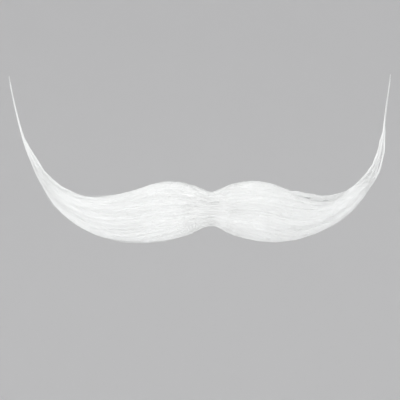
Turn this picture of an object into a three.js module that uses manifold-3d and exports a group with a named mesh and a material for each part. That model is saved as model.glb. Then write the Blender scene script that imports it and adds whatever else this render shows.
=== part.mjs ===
// A false moustache: two wings of white hair on a cloth backing that is worn on the upper lip.
// Millimetres, +Z up. The origin is on the back of the backing, at the middle of the lip.
// +X runs to the viewer's right and +Y into the face, so the hair faces -Y.
import * as THREE from "three";
import { mergeVertices } from "three/addons/utils/BufferGeometryUtils.js";
import Module from "manifold-3d";

const wasm = await Module();
wasm.setup();

// The lip, as an upright cylinder, and the gap that pieces keep
const LIP_RADIUS = 60;
const LIP_SIDES = 96;
const LIP_HEIGHT = 80;
const GAP = 0.3;

// Cloth backing, measured flat: a strip with round ends, lower under the nose and over the mouth
const CLOTH = 1;
const BACKING_LENGTH = 64;
const BACKING_HEIGHT = 15;
const BACKING_COLUMNS = 26;
const END_SQUARENESS = 4;
const END_SHARE = 0.985;
const NOSE_DIP = 2.6;
const MOUTH_NOTCH = 1.6;
const DIP_WIDTH = 9;

// Cross-sections of each wing from just past the parting to the tip. upOut and upZ place the
// upper edge, lowOut and lowZ the lower edge, with Out counted from the parting. midY places the
// middle from front to back, and thick is the depth there.
const SECTION_COLUMNS = ["upOut", "upZ", "lowOut", "lowZ", "midY", "thick"];
const LEFT_SECTIONS = [
  [-1.5, 10.0, -1.5, -8.1, -2.6, 10.0],
  [0.5, 10.4, 0.5, -8.4, -2.7, 10.8],
  [5.5, 12.6, 5.5, -10.5, -2.8, 13.4],
  [13.0, 15.0, 13.0, -14.0, -2.6, 16.0],
  [23.0, 16.1, 23.0, -16.7, -0.6, 17.0],
  [34.0, 13.5, 34.5, -17.8, 3.6, 16.0],
  [45.0, 9.6, 46.5, -17.2, 8.3, 14.2],
  [56.0, 7.7, 60.3, -14.3, 12.8, 12.4],
  [66.0, 7.5, 73.0, -7.6, 16.6, 10.0],
  [75.0, 9.9, 82.6, 0.8, 19.8, 7.6],
  [82.0, 13.5, 88.9, 9.4, 22.3, 5.4],
  [88.3, 19.6, 92.3, 16.2, 24.2, 3.6],
  [94.2, 28.5, 96.8, 27.5, 25.6, 2.2],
  [99.7, 38.0, 100.9, 37.6, 26.5, 1.3],
  [104.2, 53.9, 105.1, 53.7, 27.2, 1.0],
  [108.2, 72.0, 108.8, 71.9, 27.6, 0.6],
];
const RIGHT_SECTIONS = [
  [-1.5, 10.0, -1.5, -8.1, -2.6, 10.0],
  [0.5, 10.4, 0.5, -8.4, -2.7, 10.8],
  [5.5, 12.6, 5.5, -10.6, -2.8, 13.4],
  [13.0, 15.2, 13.0, -14.4, -2.6, 16.0],
  [23.0, 16.5, 23.0, -16.8, -0.6, 17.0],
  [34.0, 13.9, 34.0, -17.9, 3.6, 16.0],
  [45.0, 8.8, 46.0, -16.3, 8.3, 14.2],
  [55.0, 5.2, 58.7, -11.8, 12.4, 12.2],
  [65.0, 5.6, 70.9, -4.4, 16.2, 9.6],
  [73.5, 11.4, 79.7, 4.1, 19.4, 7.2],
  [80.2, 16.2, 85.0, 11.8, 22.0, 5.2],
  [86.0, 22.1, 89.1, 20.5, 24.0, 3.4],
  [90.0, 31.4, 91.5, 31.0, 25.4, 2.0],
  [91.8, 40.5, 92.9, 40.3, 26.3, 1.3],
  [93.4, 53.8, 94.3, 53.7, 27.0, 1.0],
  [96.3, 73.0, 96.9, 72.9, 27.4, 0.6],
];

// Each wing's core lies below the outline, and where the wing is thinner than THIN by less
const CORE_SUNK = 0.9;
const THIN = 5;
const CORE_SIDES = 18;
const CORE_STATIONS = 24;

// Locks on the core: how deep their middle lies, how far each spreads over its even share of the
// way round, how far it sways, and the shares of the wing's length where it starts and ends
const LOCK_COUNT = 13;
const LOCK_BED = 1.5;
const LOCK_SPREAD = 1.18;
const LOCK_SWAY = 0.16;
const LOCK_STARTS = [0.02, 0.16];
const LOCK_ENDS = [0.62, 0.9];
const LOCK_BLUNTNESS = 0.04;
const LOCK_SIDES = 7;
const LOCK_STATIONS = 15;

// Loose locks that stand off a wing: the shares of its length where each leaves and comes back,
// the angle from the upper edge towards the front, how far it stands off and its half width.
const WISP_COLUMNS = ["from", "to", "degrees", "off", "half"];
const LEFT_WISPS = [
  [0.56, 0.75, 8, 0.9, 0.5],
  [0.4, 0.62, 30, 0.5, 0.7],
];
const RIGHT_WISPS = [
  [0.35, 0.62, 6, 2.2, 0.6],
  [0.66, 0.86, 0, 0.9, 0.45],
  [0.64, 0.84, 180, 0.4, 0.45],
];
const WISP_ROOT = 1.2;
const WISP_SIDES = 6;
const WISP_STATIONS = 12;

const GOLDEN = (Math.sqrt(5) - 1) / 2;
const WELD = 1e-4;

const hair = new THREE.MeshStandardMaterial({ color: 0xf2f4f3, roughness: 0.55 });
const cloth = new THREE.MeshStandardMaterial({ color: 0xe6ded2, roughness: 0.95 });

function named(columns, rows) {
  return rows.map((row) => Object.fromEntries(columns.map((column, i) => [column, row[i]])));
}

function lerp(from, to, share) {
  return from + (to - from) * share;
}

// A number from 0 to 1 that spreads evenly as the index grows.
function spread(index, shift = 0) {
  return ((index + 1) * GOLDEN + shift) % 1;
}

// Solids and meshes

function solidOf(geometry) {
  geometry.deleteAttribute("normal");
  geometry.deleteAttribute("uv");
  const merged = mergeVertices(geometry, WELD);
  const vertProperties = merged.attributes.position.array;
  const triVerts = new Uint32Array(merged.index.array);
  const solid = new wasm.Manifold(new wasm.Mesh({ numProp: 3, vertProperties, triVerts }));
  if (solid.volume() > 0) return solid;
  return new wasm.Manifold(new wasm.Mesh({ numProp: 3, vertProperties, triVerts: triVerts.reverse() }));
}

function meshOf(solid, name, material) {
  const { numProp, vertProperties, triVerts } = solid.getMesh();
  const geometry = new THREE.BufferGeometry();
  geometry.setAttribute("position", new THREE.BufferAttribute(vertProperties, numProp));
  geometry.setIndex(new THREE.BufferAttribute(triVerts, 1));
  geometry.computeVertexNormals();
  const mesh = new THREE.Mesh(geometry, material);
  mesh.name = name;
  return mesh;
}

// A closed body through rings of the same number of points, with a fan over each end.
function loft(rings) {
  const sides = rings[0].length;
  const middles = [rings[0], rings.at(-1)].map((ring) =>
    ring.reduce((sum, p) => sum.add(p), new THREE.Vector3()).divideScalar(sides),
  );
  const points = [...rings.flat(), ...middles];
  const [firstMiddle, lastMiddle] = [points.length - 2, points.length - 1];
  const lastRing = (rings.length - 1) * sides;
  const faces = [];
  for (let k = 0; k < sides; k++) {
    const next = (k + 1) % sides;
    for (let start = 0; start < lastRing; start += sides) {
      const [a, b] = [start + k, start + next];
      faces.push(a, b, b + sides, a, b + sides, a + sides);
    }
    faces.push(firstMiddle, next, k, lastMiddle, lastRing + k, lastRing + next);
  }
  return solidOf(new THREE.BufferGeometry().setFromPoints(points).setIndex(faces));
}

// Cloth backing, bent round the lip

function onLip(along, z, depth) {
  const turn = along / LIP_RADIUS;
  const radius = LIP_RADIUS + depth;
  return new THREE.Vector3(radius * Math.sin(turn), LIP_RADIUS - radius * Math.cos(turn), z);
}

function backing() {
  const rings = [];
  for (let i = 0; i <= BACKING_COLUMNS; i++) {
    const share = END_SHARE * lerp(-1, 1, i / BACKING_COLUMNS);
    const along = (share * BACKING_LENGTH) / 2;
    const half = (BACKING_HEIGHT / 2) * Math.sqrt(1 - Math.abs(share) ** END_SQUARENESS);
    const nearMiddle = Math.exp(-((along / DIP_WIDTH) ** 2));
    const top = half - NOSE_DIP * nearMiddle;
    const bottom = -half + MOUTH_NOTCH * nearMiddle;
    rings.push([
      onLip(along, top, 0),
      onLip(along, bottom, 0),
      onLip(along, bottom, CLOTH),
      onLip(along, top, CLOTH),
    ]);
  }
  return loft(rings);
}

// What the hair may not enter: the lip and the cloth on it.
function lipAndCloth() {
  const radius = LIP_RADIUS + CLOTH + GAP;
  const lip = new THREE.CylinderGeometry(radius, radius, LIP_HEIGHT, LIP_SIDES);
  return solidOf(lip.rotateX(Math.PI / 2).translate(0, LIP_RADIUS, 0));
}

// One wing's form, smoothed through its sections. side is -1 on the left and 1 on the right.
class WingForm {
  constructor(side, sections) {
    const rows = named(SECTION_COLUMNS, sections);
    this.side = side;
    this.upper = new THREE.CatmullRomCurve3(
      rows.map((r) => new THREE.Vector3(side * r.upOut, r.midY, r.upZ)),
    );
    this.lower = new THREE.CatmullRomCurve3(
      rows.map((r) => new THREE.Vector3(side * r.lowOut, r.midY, r.lowZ)),
    );
    this.thick = new THREE.CatmullRomCurve3(rows.map((r, i) => new THREE.Vector3(i, r.thick, 0)));
  }

  middle(share) {
    return this.upper.getPoint(share).add(this.lower.getPoint(share)).divideScalar(2);
  }

  along(share) {
    const step = 0.01;
    const [before, after] = [Math.max(share - step, 0), Math.min(share + step, 1)];
    return this.middle(after).sub(this.middle(before)).normalize();
  }

  // A point of the section at that share of the wing's length, sunk below the outline towards the
  // middle. The angle runs from the upper edge over the front.
  skin(share, angle, sunk) {
    const up = this.upper.getPoint(share).sub(this.lower.getPoint(share)).divideScalar(2);
    const front = this.along(share).cross(up).normalize();
    const reach = up.multiplyScalar(Math.cos(angle));
    reach.addScaledVector(front, (this.side * this.thick.getPoint(share).y * Math.sin(angle)) / 2);
    const kept = 1 - sunk / Math.max(reach.length(), THIN);
    return this.middle(share).addScaledVector(reach, kept);
  }

  core() {
    const rings = [];
    for (let i = 0; i <= CORE_STATIONS; i++) {
      const ring = [];
      for (let k = 0; k < CORE_SIDES; k++) {
        ring.push(this.skin(i / CORE_STATIONS, (2 * Math.PI * k) / CORE_SIDES, CORE_SUNK));
      }
      rings.push(ring);
    }
    return loft(rings);
  }

  // A flat lock that rises to the outline in the middle of its length and sinks in at its ends.
  lock(index) {
    const start = lerp(...LOCK_STARTS, spread(index));
    const end = lerp(...LOCK_ENDS, spread(index, GOLDEN));
    const seat = (2 * Math.PI * index) / LOCK_COUNT;
    const halfAngle = (LOCK_SPREAD * Math.PI) / LOCK_COUNT;
    const rings = [];
    for (let i = 0; i <= LOCK_STATIONS; i++) {
      const run = i / LOCK_STATIONS;
      const full = Math.sqrt(Math.sin(Math.PI * lerp(LOCK_BLUNTNESS, 1 - LOCK_BLUNTNESS, run)));
      const sway = LOCK_SWAY * Math.sin(2 * Math.PI * (run + spread(index)));
      const ring = [];
      for (let k = 0; k < LOCK_SIDES; k++) {
        const turn = (2 * Math.PI * k) / LOCK_SIDES;
        const angle = seat + sway + halfAngle * full * Math.cos(turn);
        const sunk = LOCK_BED - LOCK_BED * full * Math.sin(turn);
        ring.push(this.skin(lerp(start, end, run), angle, sunk));
      }
      rings.push(ring);
    }
    return loft(rings);
  }

  // A loose lock that leaves the wing, stands off it and comes back.
  wisp({ from, to, degrees, off, half }) {
    const angle = THREE.MathUtils.degToRad(degrees);
    const rings = [];
    for (let i = 0; i <= WISP_STATIONS; i++) {
      const run = i / WISP_STATIONS;
      const share = lerp(from, to, run);
      const outward = this.skin(share, angle, 0).sub(this.middle(share));
      const reach = outward.length();
      outward.normalize();
      const root = Math.max(reach - WISP_ROOT, reach / 2);
      const stand = lerp(root, reach + off, Math.sin(Math.PI * run));
      const middle = this.middle(share).addScaledVector(outward, stand);
      const across = this.along(share).cross(outward).normalize();
      const ring = [];
      for (let k = 0; k < WISP_SIDES; k++) {
        const turn = (2 * Math.PI * k) / WISP_SIDES;
        const point = middle.clone().addScaledVector(outward, half * Math.cos(turn));
        ring.push(point.addScaledVector(across, half * Math.sin(turn)));
      }
      rings.push(ring);
    }
    return loft(rings);
  }

  // The core with its locks fused on, cut at the parting and at the lip. Slivers that the cuts
  // leave are dropped.
  solid(wisps) {
    let whole = this.core();
    for (let index = 0; index < LOCK_COUNT; index++) whole = whole.add(this.lock(index));
    for (const wisp of named(WISP_COLUMNS, wisps)) whole = whole.add(this.wisp(wisp));
    const cut = whole.trimByPlane([this.side, 0, 0], GAP / 2).subtract(lipAndCloth());
    return cut.decompose().sort((a, b) => b.volume() - a.volume())[0];
  }
}

const moustache = new THREE.Group();
moustache.add(meshOf(backing(), "lip_backing", cloth));
moustache.add(meshOf(new WingForm(-1, LEFT_SECTIONS).solid(LEFT_WISPS), "left_wing", hair));
moustache.add(meshOf(new WingForm(1, RIGHT_SECTIONS).solid(RIGHT_WISPS), "right_wing", hair));

export default moustache;
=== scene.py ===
"""A white handlebar moustache: two wings of combed hair on a woven backing.

Each wing's form is read from its solid, and the hair is laid along it strand by strand. Sizes are in
metres, and places along a wing are shares of its length, from the parting to the tip.
"""

import math

import bpy
import numpy as np
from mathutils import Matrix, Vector
from mathutils.bvhtree import BVHTree


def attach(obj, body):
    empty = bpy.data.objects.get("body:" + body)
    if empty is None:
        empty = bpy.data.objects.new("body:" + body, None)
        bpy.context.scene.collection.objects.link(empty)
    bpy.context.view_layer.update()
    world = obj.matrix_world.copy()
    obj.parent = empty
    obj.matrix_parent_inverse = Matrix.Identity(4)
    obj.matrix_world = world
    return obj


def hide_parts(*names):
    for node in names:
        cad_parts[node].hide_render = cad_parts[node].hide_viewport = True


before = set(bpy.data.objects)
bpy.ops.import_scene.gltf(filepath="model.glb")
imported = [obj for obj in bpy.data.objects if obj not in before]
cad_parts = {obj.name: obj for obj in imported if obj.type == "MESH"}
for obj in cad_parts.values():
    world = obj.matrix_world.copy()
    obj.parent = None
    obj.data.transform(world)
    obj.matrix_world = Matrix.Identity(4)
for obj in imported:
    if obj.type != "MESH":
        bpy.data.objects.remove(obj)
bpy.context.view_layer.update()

MM = 0.001
TURN = 2 * math.pi
BACKWARDS = np.array([0.0, 1.0, 0.0])
SEED = 1907
rng = np.random.default_rng(SEED)

# Reading a wing's form: the rays round each section, the even stations along its middle line, and over
# how many neighbours each way the line and the surface are eased
RAYS = 72
RAY_ANGLES = np.arange(RAYS) * TURN / RAYS
STATIONS = 160
LINE_EASE = 2
SURFACE_EASE = 1

# Steps inside a wing: the band of corners that marks the parting, the first step, the others as a share
# of the section's radius with their limits, how often a section's middle is sought, and how near the
# tip they stop
PARTING_BAND = 0.5 * MM
FIRST_STEP = 0.1 * MM
STEP_SHARE = 0.2
LEAST_STEP = 0.3 * MM
MOST_STEP = 1.2 * MM
CENTRING_PASSES = 3
TIP_ZONE = 0.5 * MM

# Where the surface is nearer the middle line than this, what lies under it lies under it by less
THIN = 4 * MM

# The two wings: the shares of the length between which strands start at the parting, where less
# than 0 is over the other wing, and how far the hair draws in at the turn, clear of its loose locks
WING_COLUMNS = ("node", "side", "first", "last", "fork")
WINGS = (
    ("left_wing", -1, -0.024, 0.008, 0.2),
    ("right_wing", 1, -0.016, 0.012, 0.7),
)

# Layers of hair in each wing: the angles that a layer covers, from the upper edge over the front,
# the number of strands, how deep they lie and their thickness beside a usual strand
LAYER_COLUMNS = ("layer", "from", "to", "strands", "shallow", "deep", "thickness")
LAYERS = (
    ("under", 0, 360, 1300, 0.3 * MM, 0.6 * MM, 1.5),
    ("front", -20, 200, 2500, 0.0 * MM, 0.28 * MM, 1.1),
    ("back", 190, 350, 1300, 0.1 * MM, 0.4 * MM, 1.1),
)

# A usual strand: its radius and how strands differ in it, how thick its root and its point are beside
# its full thickness, and the shares of its run between which it has that
STRAND_SIDES = 3
STRAND_RADIUS = 0.085 * MM
RADIUS_SPREAD = (0.75, 1.25)
ROOT_THICKNESS = 0.7
POINT_THICKNESS = 0.2
FULL_FROM = 0.07
FULL_TO = 0.62

# Strands that run further than this along the wing have more points
LONG_RUN = 0.45
LONG_POINTS = 15
SHORT_POINTS = 10

# Where a layer's strands start: the share of them that start at the parting and how much deeper than
# their tops their roots lie, where along the wing the others start and how deep, and over what share of
# its run a strand rises to its top
AT_PARTING = 0.45
PARTING_ROOT = (0.9 * MM, 1.3 * MM)
ROOT_PLACES = (0.01, 0.42)
ROOT_DEPTH = 0.9 * MM
RISE = (0.2, 0.45)

# Where they end: the share of them that is left falls with this power of the wing's girth, down to the
# fewest, their ends differ by this much, and their least runs are between these
GIRTH_POWER = 1.3
FEWEST_LEFT = 0.004
END_SPREAD = 0.02
LEAST_RUN = (0.2, 0.32)

# Neighbouring strands draw together into locks, each with a depth and a tone of its own
LOCKS = 44
LOCK_DRAW = 0.45
LOCK_DEPTH = 0.12 * MM
LOCK_TONE = 0.04

# Locks sway round the wing, by radians and waves along its length. Where a lock's sway starts is the sum
# of two waves round the wing, each as waves to a turn and a shift. Single strands wander as well
SWAY = 0.022
SWAY_WAVES = 1.3
SWAY_STARTS = ((3, 0.7), (5, 2.1))
WANDER = 0.014

# Tones, from 0 for grey to 1 for white: a usual strand, how strands differ, how much painted shade greys
# the hair at the parting and painted light whitens it towards the tips, and the shares of the length over
# which each of these changes
TONE = 0.93
TONE_SPREAD = 0.04
# Painted shade: the hair near the parting is painted greyer
PARTING_PAINTED_SHADE = 0.13
PAINTED_SHADE_TO = (0.02, 0.18)
# Painted light: hair is painted whiter out towards the tips, against the shade of the thin outer wing
OUTER_PAINTED_LIGHT = 0.1
PAINTED_LIGHT_FROM = (0.12, 0.4)

# Shares of the length where the hair draws in at the turn and fills the form again. Of the strands that
# don't reach past it, this share ends where it opens, in a wing that draws in all the way
FORK_OPENS = (0.57, 0.67)
FORK_CLOSES = (0.74, 0.82)
FORK_THINS = 0.9

# Strands that cross the parting: how far they reach on each wing, how deep their ends lie, how far in or
# out of the surface their tops lie, over what share of their run they rise and sink, their thickness
# beside a usual strand, and over how many of their points each way they ease the hollow there
CROSSING_STRANDS = 520
CROSSING_REACH = (0.04, 0.2)
CROSSING_ROOT = 0.7 * MM
CROSSING_TOP = (-0.1 * MM, 0.1 * MM)
CROSSING_RISE = (0.2, 0.4)
CROSSING_THICKNESS = 1.4
CROSSING_EASE = 3

# Single hairs that stray: where along the wing they start and how far they run, how deep they start, how
# far they bow out and flick up, the share of the run where a flick starts, how far they drift round the
# wing, in radians, and their thickness beside a usual strand
STRAY_HAIRS = 220
STRAY_PLACES = (0.03, 0.55)
STRAY_RUN = (0.12, 0.3)
STRAY_ROOT = 0.3 * MM
STRAY_BOW = 1.0 * MM
STRAY_FLICK = 1.3 * MM
STRAY_FLICK_FROM = 0.55
STRAY_DRIFT = 0.08
STRAY_THICKNESS = 0.6

# Core under the hair: how deep it lies, the height of its ridges, where along the wing it starts to draw
# in and where it ends, and how far it has drawn in there
CORE_SUNK = 0.65 * MM
CORE_RIDGE = 0.15 * MM
CORE_THINS = 0.35
CORE_END = 0.58
CORE_DRAWN_IN = 0.97
CORE_ROWS = 50
CORE_SIDES = 180

# Loose locks that stand off a wing: the shares of its length where each leaves and comes back, the
# angle from the upper edge towards the front, how far it stands off, its half width and its strands
WISP_COLUMNS = ("node", "leaves", "returns", "degrees", "off", "half", "strands")
WISPS = (
    ("left_wing", 0.36, 0.56, 12, 0.9 * MM, 0.35 * MM, 26),
    ("left_wing", 0.47, 0.66, 4, 1.2 * MM, 0.4 * MM, 30),
    ("left_wing", 0.58, 0.79, 0, 0.5 * MM, 0.3 * MM, 26),
    ("left_wing", 0.56, 0.80, 180, 0.3 * MM, 0.4 * MM, 40),
    ("right_wing", 0.26, 0.50, 8, 2.6 * MM, 0.9 * MM, 110),
    ("right_wing", 0.37, 0.50, 4, 2.4 * MM, 0.6 * MM, 70),
    ("right_wing", 0.55, 0.79, 0, 0.9 * MM, 0.35 * MM, 40),
    ("right_wing", 0.56, 0.81, 180, 1.3 * MM, 0.3 * MM, 26),
)
# In each of them: how the strands differ in where they leave and come back, how deep their ends lie, how
# narrow the lock is at its ends, the strands' thickness beside a usual strand, and the painted light that
# whitens them against the shade they lie in
WISP_LEAVES = (-0.03, 0.03)
WISP_RETURNS = (-0.03, 0.05)
WISP_ROOT = 0.5 * MM
WISP_GATHERED = 0.4
WISP_POINTS = 24
WISP_THICKNESS = 1.2
# Painted light: the locks' strands are painted whiter, against the shade they lie in
WISP_PAINTED_LIGHT = 0.08

# Backing cloth: plain weave, in relief on its back. Its front, under the hair, has fewer points
THREAD = 0.9 * MM
THREAD_RELIEF = 0.14 * MM
POINTS_PER_THREAD = 6
FRONT_COARSER = 4
EDGE_POINTS = 6
# Columns of corners in its solid: the decimals that tell their angles apart, in radians, and how near its
# column's angle a corner lies
COLUMN_DECIMALS = 4
COLUMN_WIDTH = 1e-3

# Colours, from dark to pale: the hair's tones, the cloth, and the studio's paper from floor to wall
HAIR_COLOURS = ((0.50, 0.50, 0.49, 1), (0.95, 0.96, 0.955, 1))
CLOTH_COLOURS = ((0.60, 0.55, 0.47, 1), (0.80, 0.75, 0.67, 1))
PAPER_COLOURS = ((0.48, 0.48, 0.485, 1), (0.67, 0.67, 0.675, 1))

# Photograph: where the camera stands, level and looking along +Y, and the width of its frame at the hair
CAMERA_DISTANCE = 1.5
CAMERA_X = -5.8 * MM
CAMERA_Z = 5.5 * MM
FRAME_SPAN = 0.21
FRAME_DEPTH = -5 * MM
SENSOR = 36.0
CLIP_START = 0.05
CLIP_END = 50.0

# Studio: a round cove, wider than any view of the part needs, and the height over which its paper grows
# paler
FLOOR_Z = -0.5
FLOOR_HUB = 0.02
FLOOR_RADIUS = 2.3
COVE_RADIUS = 0.9
COVE_STEPS = 12
COVE_SIDES = 96
WALL_TOP = 1.6
PAPER_FADE = 0.2

# Lights that face the part: where each stands, its width and its power in watts
LIGHT_COLUMNS = ("name", "place", "width", "power")
LIGHTS = (
    ("key", (-0.6, -1.9, 0.2), 1.2, 12.2),
    ("fill", (-0.1, -1.7, -0.35), 0.6, 13.6),
    ("side", (1.4, -1.2, 0.2), 1.0, 3.2),
    ("top", (0.0, 0.3, 2.4), 1.8, 4.0),
    ("back", (0.2, 1.9, 0.6), 1.2, 15.0),
)
WORLD_LIGHT = 0.8


def named(columns, rows):
    """The rows of a table, with a name for each value."""
    return [dict(zip(columns, row)) for row in rows]


def smooth(low, high, value):
    """0 below low, 1 above high, and an even ease between them."""
    t = np.clip((value - low) / (high - low), 0, 1)
    return t * t * (3 - 2 * t)


def blurred(rows, reach, wrap):
    """The mean of each row and its neighbours up to reach away. Open ends stay where they are."""
    if wrap:
        before, after = rows[-reach:], rows[:reach]
    else:
        before = 2 * rows[:1] - rows[reach:0:-1]
        after = 2 * rows[-1:] - rows[-2 : -reach - 2 : -1]
    padded = np.concatenate([before, rows, after])
    return sum(padded[i : i + len(rows)] for i in range(2 * reach + 1)) / (2 * reach + 1)


def unit(vectors):
    """The same directions, with length 1."""
    return vectors / np.linalg.norm(vectors, axis=-1, keepdims=True)


# Meshes


def mesh_piece(name, points, triangles, smooth_faces, tone, material):
    """A mesh object from arrays, with a tone for each of its points."""
    mesh = bpy.data.meshes.new(name)
    mesh.vertices.add(len(points))
    mesh.vertices.foreach_set("co", np.asarray(points, np.float32).ravel())
    mesh.loops.add(triangles.size)
    mesh.loops.foreach_set("vertex_index", triangles.astype(np.int32).ravel())
    mesh.polygons.add(len(triangles))
    mesh.polygons.foreach_set("loop_start", np.arange(0, triangles.size, 3, dtype=np.int32))
    mesh.polygons.foreach_set("use_smooth", smooth_faces)
    mesh.update(calc_edges=True)
    values = mesh.attributes.new("tone", "FLOAT", "POINT")
    values.data.foreach_set("value", np.asarray(tone, np.float32).ravel())
    mesh.materials.append(material)
    piece = bpy.data.objects.new(name, mesh)
    bpy.context.scene.collection.objects.link(piece)
    return piece


def grid_triangles(rows, sides):
    """Triangles of a tube with that many rings and sides, without its ends."""
    ring, side = np.meshgrid(np.arange(rows - 1), np.arange(sides), indexing="ij")
    a = ring * sides + side
    b = ring * sides + (side + 1) % sides
    c, d = a + sides, b + sides
    return np.stack([a, b, d, a, d, c], -1).reshape(-1, 3)


def fan(sides, first):
    """Triangles that close a ring whose first point has that number."""
    corner = np.arange(1, sides - 1)
    return np.stack([np.zeros_like(corner), corner + 1, corner], -1) + first


def closed_tube(rows, sides):
    """Triangles of a tube with both ends closed, and which of them are smooth, as the ends are flat."""
    wall = grid_triangles(rows, sides)
    last = fan(sides, (rows - 1) * sides)[:, ::-1]
    triangles = np.concatenate([wall, fan(sides, 0), last])
    return triangles, np.arange(len(triangles)) < len(wall)


def strand_tubes(paths, radii):
    """Points, triangles and smooth faces of thin tubes along the paths, which are strand by point by xyz.
    One side of each tube faces the front."""
    count, steps, _ = paths.shape
    along = unit(np.gradient(paths, axis=1))
    back = unit(BACKWARDS - along * (along @ BACKWARDS)[..., None])
    aside = np.cross(along, back)
    corners = []
    for turn in np.arange(STRAND_SIDES) * TURN / STRAND_SIDES:
        corners.append(paths + radii[..., None] * (back * math.cos(turn) + aside * math.sin(turn)))
    tube, smooth_faces = closed_tube(steps, STRAND_SIDES)
    starts = np.arange(count) * steps * STRAND_SIDES
    triangles = (tube[None] + starts[:, None, None]).reshape(-1, 3)
    return np.stack(corners, 2).reshape(-1, 3), triangles, np.tile(smooth_faces, count)


def hair_piece(wing, name, bundles, material):
    """One piece of a wing's hair, from bundles of paths, radii and tones."""
    parts = []
    total = 0
    for paths, radii, tone in bundles:
        points, triangles, smooth_faces = strand_tubes(paths, radii)
        parts.append((points, triangles + total, smooth_faces, np.repeat(tone.ravel(), STRAND_SIDES)))
        total += len(points)
    joined = [np.concatenate(part) for part in zip(*parts)]
    declare_hair(mesh_piece(f"{wing.node}_{name}", *joined, material), wing)


def declare_hair(piece, wing):
    """Hangs a piece from the root body and hides the wing's solid, which the piece stands in for."""
    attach(piece, "root")
    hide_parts(wing.node)


# A wing's form


class Wing:
    """The form of one wing, read from its solid.

    It has a middle line from the parting to the tip, and how far the surface lies from that line
    at each angle. Angle 0 is up, or inwards where the wing turns up, and a quarter turn is the front.
    """

    def __init__(self, row):
        self.node = row["node"]
        self.side = row["side"]
        self.first = row["first"]
        self.last = row["last"]
        self.fork = row["fork"]
        self.other = None
        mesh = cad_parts[self.node].data
        corners = [v.co.copy() for v in mesh.vertices]
        self.tree = BVHTree.FromPolygons(corners, [tuple(p.vertices) for p in mesh.polygons])
        points = np.array(corners)
        parting = points[np.abs(points[:, 0]) < PARTING_BAND].mean(0)
        tip = Vector(points[points[:, 2].argmax()])
        self.resample(*self.trace(Vector(parting), tip))
        self.lock_depth = rng.uniform(0, LOCK_DEPTH, LOCKS)
        self.lock_tone = rng.normal(0, LOCK_TONE, LOCKS)

    def ring(self, middle, up, front):
        """How far the surface is from the middle, all the way round."""
        found = []
        for angle in RAY_ANGLES:
            hit = self.tree.ray_cast(middle, up * math.cos(angle) + front * math.sin(angle))
            found.append(hit[3] if hit[0] else np.nan)
        return np.array(found)

    def centred(self, middle, up, front):
        """The middle of the section there and its ring, which is None outside the wing."""
        for _ in range(CENTRING_PASSES):
            reach = self.ring(middle, up, front)
            if np.isnan(reach).any():
                return middle, None
            shift_up = (reach * np.cos(RAY_ANGLES)).mean()
            shift_front = (reach * np.sin(RAY_ANGLES)).mean()
            middle = middle + up * shift_up + front * shift_front
        return middle, reach

    def trace(self, middle, tip):
        """Steps along the inside of the wing, and keeps to the middle of each section."""
        heading, up = Vector((self.side, 0, 0)), Vector((0, 0, 1))
        middle = middle + heading * FIRST_STEP
        rows = []
        while (tip - middle).length > TIP_ZONE:
            up = (up - heading * up.dot(heading)).normalized()
            front = heading.cross(up) * self.side
            middle, reach = self.centred(middle, up, front)
            if reach is None:
                break
            if rows:
                heading = (heading + (middle - rows[-1][0]).normalized()).normalized()
            rows.append((middle.copy(), up.copy(), front.copy(), reach))
            middle = middle + heading * min(max(reach.mean() * STEP_SHARE, LEAST_STEP), MOST_STEP)
        rows.append((tip, up, front, rows[-1][3] / 2))
        return [np.array(column) for column in zip(*rows)]

    def resample(self, middle, up, front, reach):
        """Even stations along the middle line, eased so that no facet shows."""
        middle = blurred(middle, LINE_EASE, False)
        steps = np.linalg.norm(np.diff(middle, axis=0), axis=1)
        travel = np.concatenate([[0], np.cumsum(steps)])
        even = np.linspace(0, travel[-1], STATIONS)

        def at_even(rows):
            return np.stack([np.interp(even, travel, column) for column in rows.T], 1)

        self.middle, self.up, self.front = at_even(middle), at_even(up), at_even(front)
        eased_along = blurred(at_even(reach), SURFACE_EASE, False)
        self.reach = blurred(eased_along.T, SURFACE_EASE, True).T
        self.girth = self.reach.mean(1)

    def section(self, share, angle):
        """The middle of the wing at these shares of its length, the way out and how far the surface is."""
        row = np.clip(share, 0, 1) * (STATIONS - 1)
        station = np.minimum(row.astype(int), STATIONS - 2)
        past = row - station
        column = angle / TURN % 1 * RAYS
        ray = column.astype(int) % RAYS
        next_ray = (ray + 1) % RAYS
        turned = column - np.floor(column)
        near = self.reach[station, ray] * (1 - turned) + self.reach[station, next_ray] * turned
        far = self.reach[station + 1, ray] * (1 - turned) + self.reach[station + 1, next_ray] * turned

        def between(rows):
            return rows[station] * (1 - past[..., None]) + rows[station + 1] * past[..., None]

        way = between(self.up) * np.cos(angle)[..., None] + between(self.front) * np.sin(angle)[..., None]
        return between(self.middle), way, near * (1 - past) + far * past

    def place(self, share, angle, sunk, drawn_in=0.0):
        """Points that lie that far under the surface, or drawn in to the middle by a share. A share of
        the length below 0 is on the other wing."""
        own = self.section(share, angle)
        across = self.other.section(-share, angle)
        beyond = share < 0
        middle, way = [np.where(beyond[..., None], a, b) for a, b in zip(across[:2], own[:2])]
        reach = np.where(beyond, across[2], own[2])
        out = reach * (1 - sunk / np.maximum(reach, THIN)) * (1 - drawn_in)
        return middle + out[..., None] * way

    def end_for(self, girth):
        """The share of the length where the wing has thinned to that share of its fullest girth."""
        fullest = self.girth.argmax()
        thinning = np.minimum.accumulate(self.girth[fullest:]) / self.girth[fullest]
        shares = np.linspace(0, 1, STATIONS)[fullest:]
        return np.interp(-girth, -thinning, shares)


# Materials


def new_material(name):
    """A material with nodes, and what it takes to build them."""
    material = bpy.data.materials.new(name)
    material.use_nodes = True
    nodes = material.node_tree.nodes
    return material, nodes, material.node_tree.links, nodes["Principled BSDF"]


def set_inputs(node, values):
    """Sets inputs of a node by their names."""
    for name, value in values.items():
        node.inputs[name].default_value = value


def colour_ramp(nodes, colours):
    """A ramp from the first colour to the second."""
    ramp = nodes.new("ShaderNodeValToRGB")
    for stop, colour in zip(ramp.color_ramp.elements, colours):
        stop.color = colour
    return ramp


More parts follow.
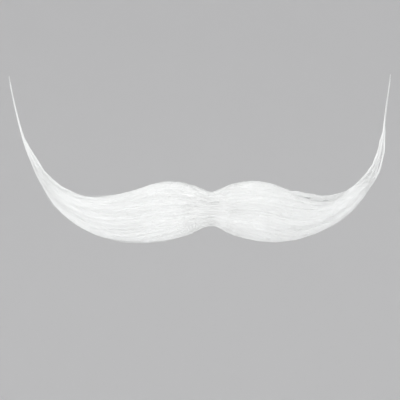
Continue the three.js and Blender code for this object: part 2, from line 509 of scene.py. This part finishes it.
def hair_material():
    """White hair: each strand has its own tone, and a whiter strand is smoother."""
    material, nodes, links, shader = new_material("white_hair")
    tone = nodes.new("ShaderNodeAttribute")
    tone.attribute_name = "tone"
    ramp = colour_ramp(nodes, HAIR_COLOURS)
    gloss = nodes.new("ShaderNodeMapRange")
    set_inputs(gloss, {"From Min": 0.75, "To Min": 0.55, "To Max": 0.38})
    links.new(tone.outputs["Fac"], ramp.inputs["Fac"])
    links.new(tone.outputs["Fac"], gloss.inputs["Value"])
    links.new(ramp.outputs["Color"], shader.inputs["Base Color"])
    links.new(gloss.outputs["Result"], shader.inputs["Roughness"])
    set_inputs(shader, {"Specular IOR Level": 0.35, "Sheen Weight": 0.15})
    return material


def cloth_material():
    """Cream woven cloth, a little uneven from thread to thread."""
    material, nodes, links, shader = new_material("woven_cloth")
    place = nodes.new("ShaderNodeTexCoord")
    noise = nodes.new("ShaderNodeTexNoise")
    set_inputs(noise, {"Scale": 900, "Detail": 3})
    ramp = colour_ramp(nodes, CLOTH_COLOURS)
    matt = nodes.new("ShaderNodeMapRange")
    set_inputs(matt, {"To Min": 0.98, "To Max": 0.82})
    bump = nodes.new("ShaderNodeBump")
    set_inputs(bump, {"Strength": 0.25, "Distance": 0.05 * MM})
    links.new(place.outputs["Object"], noise.inputs["Vector"])
    links.new(noise.outputs["Fac"], ramp.inputs["Fac"])
    links.new(noise.outputs["Fac"], bump.inputs["Height"])
    links.new(noise.outputs["Fac"], matt.inputs["Value"])
    links.new(ramp.outputs["Color"], shader.inputs["Base Color"])
    links.new(bump.outputs["Normal"], shader.inputs["Normal"])
    links.new(matt.outputs["Result"], shader.inputs["Roughness"])
    set_inputs(shader, {"Sheen Weight": 0.2})
    return material


def studio_material():
    """Plain pale paper, a little darker on the floor, where more light falls."""
    material, nodes, links, shader = new_material("studio_paper")
    place = nodes.new("ShaderNodeTexCoord")
    height = nodes.new("ShaderNodeSeparateXYZ")
    rise = nodes.new("ShaderNodeMapRange")
    set_inputs(rise, {"From Min": FLOOR_Z, "From Max": FLOOR_Z + PAPER_FADE})
    ramp = colour_ramp(nodes, PAPER_COLOURS)
    ramp.color_ramp.interpolation = "EASE"
    links.new(place.outputs["Object"], height.inputs["Vector"])
    links.new(height.outputs["Z"], rise.inputs["Value"])
    links.new(rise.outputs["Result"], ramp.inputs["Fac"])
    links.new(ramp.outputs["Color"], shader.inputs["Base Color"])
    set_inputs(shader, {"Roughness": 0.95})
    return material


# Hair


def core(wing, material):
    """The full body under the strands, finely ridged, which ends before the hair thins out."""
    turns = np.arange(CORE_SIDES) * TURN / CORE_SIDES
    share, angle = np.meshgrid(np.linspace(0, CORE_END, CORE_ROWS), turns, indexing="ij")
    sunk = CORE_SUNK + rng.uniform(-CORE_RIDGE, CORE_RIDGE, CORE_SIDES)[None]
    drawn_in = CORE_DRAWN_IN * smooth(CORE_THINS, CORE_END, share)
    points = wing.place(share, angle, sunk, drawn_in).reshape(-1, 3)
    triangles, smooth_faces = closed_tube(CORE_ROWS, CORE_SIDES)
    if wing.side < 0:
        triangles = triangles[:, ::-1]
    tone = np.ones(len(points))
    declare_hair(mesh_piece(f"{wing.node}_core", points, triangles, smooth_faces, tone, material), wing)


def strand_radii(count, steps, thickness):
    """Each strand is thin at its root and comes to a point."""
    run = np.linspace(0, 1, steps)[None]
    root = ROOT_THICKNESS + (1 - ROOT_THICKNESS) * smooth(0, FULL_FROM, run)
    point = 1 - (1 - POINT_THICKNESS) * smooth(FULL_TO, 1, run)
    return STRAND_RADIUS * thickness * rng.uniform(*RADIUS_SPREAD, (count, 1)) * root * point


def strand_tones(share, offset=0.0):
    """A tone for each point: strands differ, painted shade greys the hair near the parting, and painted
    light whitens it towards the tips.
    """
    own = rng.normal(TONE, TONE_SPREAD, (len(share), 1)) + offset
    # Painted shade near the parting
    painted_shade = PARTING_PAINTED_SHADE * (1 - smooth(*PAINTED_SHADE_TO, np.abs(share)))
    # Painted light towards the tips
    whiter = OUTER_PAINTED_LIGHT * smooth(*PAINTED_LIGHT_FROM, share)
    return np.clip(own - painted_shade + whiter, 0, 1)


def combed(wing, strands, steps, sinks=False):
    """Paths and tones of strands that rise from their roots and lie along the wing in locks. Their
    ends lie on top, or sink again as deep as their roots."""
    angle, start, end, root, top, rise = [column[:, None] for column in strands]
    run = np.linspace(0, 1, steps)[None]
    share = start + (end - start) * run
    lock = (angle / TURN * LOCKS).astype(int) % LOCKS
    lock_middle = (np.floor(angle / TURN * LOCKS) + 0.5) * TURN / LOCKS
    sway_start = sum(np.sin(waves * lock_middle + shift) for waves, shift in SWAY_STARTS)
    wander = rng.normal(0, WANDER, (len(angle), 2))
    turned = angle + LOCK_DRAW * smooth(0, 1, run) * (lock_middle - angle)
    turned = turned + SWAY * np.sin(SWAY_WAVES * TURN * share + sway_start)
    turned = turned + wander[:, :1] * np.sin(math.pi * run) + wander[:, 1:] * np.sin(TURN * run)
    risen = smooth(0, 1, run / rise)
    if sinks:
        risen = risen * smooth(0, 1, (1 - run) / rise)
    sunk = root + (top + wing.lock_depth[lock] - root) * risen
    drawn_in = wing.fork * smooth(*FORK_OPENS, share) * (1 - smooth(*FORK_CLOSES, share))
    paths = wing.place(share, turned, sunk, drawn_in)
    return paths, strand_tones(share, wing.lock_tone[lock])


def even_angles(count, low, high):
    """Angles spread evenly, with a little chance, in no order."""
    angle = low + (high - low) * (np.arange(count) + rng.random(count)) / count
    return rng.permutation(angle)


def laid_layer(wing, row, material):
    """A layer of hair all along a wing. Strands start at the parting or come out from under others,
    and end where the wing grows too thin to hold them."""
    count = row["strands"]
    angle = even_angles(count, math.radians(row["from"]), math.radians(row["to"])) % TURN
    at_parting = rng.random(count) < AT_PARTING
    parted = rng.uniform(wing.first, wing.last, count)
    start = np.where(at_parting, parted, rng.uniform(*ROOT_PLACES, count))
    left = rng.uniform(FEWEST_LEFT, 1, count)
    end = wing.end_for(left ** (1 / GIRTH_POWER)) + rng.normal(0, END_SPREAD, count)
    end = np.clip(np.maximum(end, start + rng.uniform(*LEAST_RUN, count)), 0, 1)
    thins = (rng.random(count) < FORK_THINS * wing.fork) & (end < FORK_CLOSES[1])
    end = np.where(thins, np.minimum(end, rng.uniform(*FORK_OPENS, count)), end)
    top = rng.uniform(row["shallow"], row["deep"], count)
    root = np.where(at_parting, top + rng.uniform(*PARTING_ROOT, count), ROOT_DEPTH)
    rise = rng.uniform(*RISE, count)
    strands = np.stack([angle, start, end, root, top, rise])
    is_long = end - start > LONG_RUN
    bundles = []
    for steps, chosen in ((LONG_POINTS, is_long), (SHORT_POINTS, ~is_long)):
        paths, tones = combed(wing, strands[:, chosen], steps)
        bundles.append((paths, strand_radii(len(paths), steps, row["thickness"]), tones))
    hair_piece(wing, row["layer"], bundles, material)


def parting_hair(wing, material):
    """Strands that lie across the parting and join the wings."""
    angle = even_angles(CROSSING_STRANDS, 0, TURN)
    start = -rng.uniform(*CROSSING_REACH, CROSSING_STRANDS)
    end = rng.uniform(*CROSSING_REACH, CROSSING_STRANDS)
    root = np.full(CROSSING_STRANDS, CROSSING_ROOT)
    top = rng.uniform(*CROSSING_TOP, CROSSING_STRANDS)
    rise = rng.uniform(*CROSSING_RISE, CROSSING_STRANDS)
    strands = np.stack([angle, start, end, root, top, rise])
    paths, tones = combed(wing, strands, LONG_POINTS, sinks=True)
    paths[..., 1] = blurred(paths[..., 1].T, CROSSING_EASE, False).T
    radii = strand_radii(CROSSING_STRANDS, LONG_POINTS, CROSSING_THICKNESS)
    hair_piece(wing, "parting", [(paths, radii, tones)], material)


def loose_hair(wing, material):
    """Single hairs that stray from the wing."""
    run = np.linspace(0, 1, SHORT_POINTS)[None]
    per_hair = (STRAY_HAIRS, 1)
    angle = even_angles(STRAY_HAIRS, 0, TURN)[:, None]
    start = rng.uniform(*STRAY_PLACES, per_hair)
    share = start + np.minimum(rng.uniform(*STRAY_RUN, per_hair), 1 - start) * run
    bow = rng.uniform(0, STRAY_BOW, per_hair) * np.sin(math.pi * run)
    flick = rng.uniform(0, STRAY_FLICK, per_hair) ** 2 / STRAY_FLICK * smooth(STRAY_FLICK_FROM, 1, run)
    drift = rng.normal(0, STRAY_DRIFT, per_hair) * run
    paths = wing.place(share, angle + drift, STRAY_ROOT - bow - flick)
    radii = strand_radii(STRAY_HAIRS, SHORT_POINTS, STRAY_THICKNESS)
    hair_piece(wing, "loose", [(paths, radii, strand_tones(share))], material)


def wisps(wing, rows, material):
    """Loose locks that leave the wing, stand off it and come back."""
    run = np.linspace(0, 1, WISP_POINTS)[None]
    arch = np.sin(math.pi * run)
    spread = WISP_GATHERED + (1 - WISP_GATHERED) * arch
    bundles = []
    for row in rows:
        count = row["strands"]
        leaves = row["leaves"] + rng.uniform(*WISP_LEAVES, (count, 1))
        returns = row["returns"] + rng.uniform(*WISP_RETURNS, (count, 1))
        share = leaves + (returns - leaves) * run
        angle = np.full(share.shape, math.radians(row["degrees"]))
        surface = wing.place(share, angle, 0)
        out = unit(surface - wing.place(share, angle, WISP_ROOT))
        aside = unit(np.cross(np.gradient(surface, axis=1), out))
        scatter = rng.normal(0, row["half"] / 2, (count, 2))
        lift = (row["off"] + WISP_ROOT) * arch - WISP_ROOT + scatter[:, :1] * spread
        paths = surface + out * lift[..., None] + aside * (scatter[:, 1:] * spread)[..., None]
        radii = strand_radii(count, WISP_POINTS, WISP_THICKNESS)
        # The locks' strands get painted light on their tones
        bundles.append((paths, radii, strand_tones(share, WISP_PAINTED_LIGHT)))
    hair_piece(wing, "wisps", bundles, material)


def dress(wing, material):
    """All of one wing's hair."""
    core(wing, material)
    for row in named(LAYER_COLUMNS, LAYERS):
        laid_layer(wing, row, material)
    parting_hair(wing, material)
    loose_hair(wing, material)
    wisps(wing, [row for row in named(WISP_COLUMNS, WISPS) if row["node"] == wing.node], material)


# Backing


def weave(along, up):
    """Height of a plain weave, from 0 to 1."""
    warp, weft = np.floor(along / THREAD), np.floor(up / THREAD)
    over = 0.5 + 0.5 * np.cos(math.pi * (up / THREAD - 0.5 + warp))
    under = 0.5 + 0.5 * np.cos(math.pi * (along / THREAD + 0.5 + weft))
    ridge = np.abs(np.sin(math.pi * along / THREAD)) * over
    return np.maximum(ridge, np.abs(np.sin(math.pi * up / THREAD)) * under)


def strip_form():
    """The backing's form, read from its solid: the radius of the lip it bends round, the cloth's
    thickness, the angles of its columns and the strip's top and bottom at each of them."""
    points = np.array([v.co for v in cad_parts["lip_backing"].data.vertices])
    end = points[points[:, 1].argmax()]
    lip_radius = (end[0] ** 2 + end[1] ** 2) / (2 * end[1])
    cloth = -points[:, 1].min()
    turn = np.arctan2(points[:, 0], lip_radius - points[:, 1])
    columns = np.unique(turn.round(COLUMN_DECIMALS))
    heights = [points[np.abs(turn - column) < COLUMN_WIDTH, 2] for column in columns]
    tops = np.array([z.max() for z in heights])
    bottoms = np.array([z.min() for z in heights])
    return lip_radius, cloth, columns, tops, bottoms


def backing(material):
    """The strip of cloth, bent round the lip, with its weave in relief on the back."""
    lip_radius, cloth, columns, tops, bottoms = strip_form()
    length = (columns[-1] - columns[0]) * lip_radius
    height = tops.max() - bottoms.min()
    rows = int(length / THREAD * POINTS_PER_THREAD)
    across = int(height / THREAD * POINTS_PER_THREAD)
    bend = np.linspace(columns[0], columns[-1], rows)[:, None]
    top, bottom = np.interp(bend, columns, tops), np.interp(bend, columns, bottoms)
    back_up = np.linspace(0, 1, across)[None]
    front_up = np.linspace(1, 0, across // FRONT_COARSER)[None]
    edge = np.linspace(0, math.pi, EDGE_POINTS)[None, 1:-1]

    round_edge = cloth / 2
    inner_top, inner_bottom = top - round_edge, bottom + round_edge
    z_back = inner_bottom + (inner_top - inner_bottom) * back_up
    relief = THREAD_RELIEF * weave(bend * lip_radius, z_back)
    depth_back = THREAD_RELIEF - relief
    z_front = inner_bottom + (inner_top - inner_bottom) * front_up
    depth_front = np.full_like(z_front, cloth)
    z_top = inner_top + round_edge * np.sin(edge)
    depth_top = np.broadcast_to(round_edge * (1 - np.cos(edge)), z_top.shape)
    z_bottom = inner_bottom - round_edge * np.sin(edge)
    depth_bottom = np.broadcast_to(round_edge * (1 + np.cos(edge)), z_bottom.shape)

    z = np.concatenate([z_back, z_top, z_front, z_bottom], 1)
    radius = lip_radius + np.concatenate([depth_back, depth_top, depth_front, depth_bottom], 1)
    x = radius * np.sin(bend)
    y = lip_radius - radius * np.cos(bend)
    made = np.stack([x, y, z], -1)
    sides = made.shape[1]
    tones = np.ones(rows * sides)
    piece = mesh_piece("backing_cloth", made.reshape(-1, 3), *closed_tube(rows, sides), tones, material)
    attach(piece, "root")
    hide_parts("lip_backing")


# Studio


def cove(material):
    """A round floor that curves up into a wall."""
    turns = np.linspace(0, math.pi / 2, COVE_STEPS)
    flat = [(FLOOR_HUB, FLOOR_Z), (FLOOR_RADIUS / 2, FLOOR_Z)]
    bend = [
        (FLOOR_RADIUS + COVE_RADIUS * math.sin(t), FLOOR_Z + COVE_RADIUS * (1 - math.cos(t))) for t in turns
    ]
    profile = np.array([*flat, *bend, (FLOOR_RADIUS + COVE_RADIUS, WALL_TOP)])
    around = np.arange(COVE_SIDES) * TURN / COVE_SIDES
    x, y = profile[:, :1] * np.cos(around), profile[:, :1] * np.sin(around)
    points = np.stack([x, y, np.repeat(profile[:, 1:], COVE_SIDES, 1)], -1).reshape(-1, 3)
    triangles = np.concatenate([grid_triangles(len(profile), COVE_SIDES), fan(COVE_SIDES, 0)])
    smooth_faces = np.ones(len(triangles), bool)
    mesh_piece("studio_cove", points, triangles, smooth_faces, np.ones(len(points)), material)


def area_light(row):
    """A round soft light that faces the part and stays out of the picture."""
    light = bpy.data.lights.new(row["name"], "AREA")
    light.shape = "DISK"
    light.size = row["width"]
    light.energy = row["power"]
    lamp = bpy.data.objects.new(row["name"], light)
    lamp.location = row["place"]
    lamp.rotation_euler = (-Vector(row["place"])).to_track_quat("-Z", "Y").to_euler()
    lamp.visible_camera = False
    bpy.context.scene.collection.objects.link(lamp)


def studio():
    """Soft light from the front, one side, above and behind, in a pale cove."""
    cove(studio_material())
    for row in named(LIGHT_COLUMNS, LIGHTS):
        area_light(row)
    world = bpy.data.worlds.new("studio_world")
    world.use_nodes = True
    set_inputs(world.node_tree.nodes["Background"], {"Color": (1, 1, 1, 1), "Strength": WORLD_LIGHT})
    bpy.context.scene.world = world
    bpy.context.scene.view_settings.view_transform = "Standard"


def camera():
    """The photograph's view: level, straight at the front."""
    made = bpy.data.cameras.new("camera")
    made.sensor_width = SENSOR
    made.lens = SENSOR * (CAMERA_DISTANCE + FRAME_DEPTH) / FRAME_SPAN
    made.clip_start = CLIP_START
    made.clip_end = CLIP_END
    holder = bpy.data.objects.new("camera", made)
    holder.location = (CAMERA_X, -CAMERA_DISTANCE, CAMERA_Z)
    holder.rotation_euler = (math.pi / 2, 0, 0)
    bpy.context.scene.collection.objects.link(holder)
    bpy.context.scene.camera = holder


camera()
studio()
wings = [Wing(row) for row in named(WING_COLUMNS, WINGS)]
wings[0].other, wings[1].other = wings[1], wings[0]
white_hair = hair_material()
for each in wings:
    dress(each, white_hair)
backing(cloth_material())
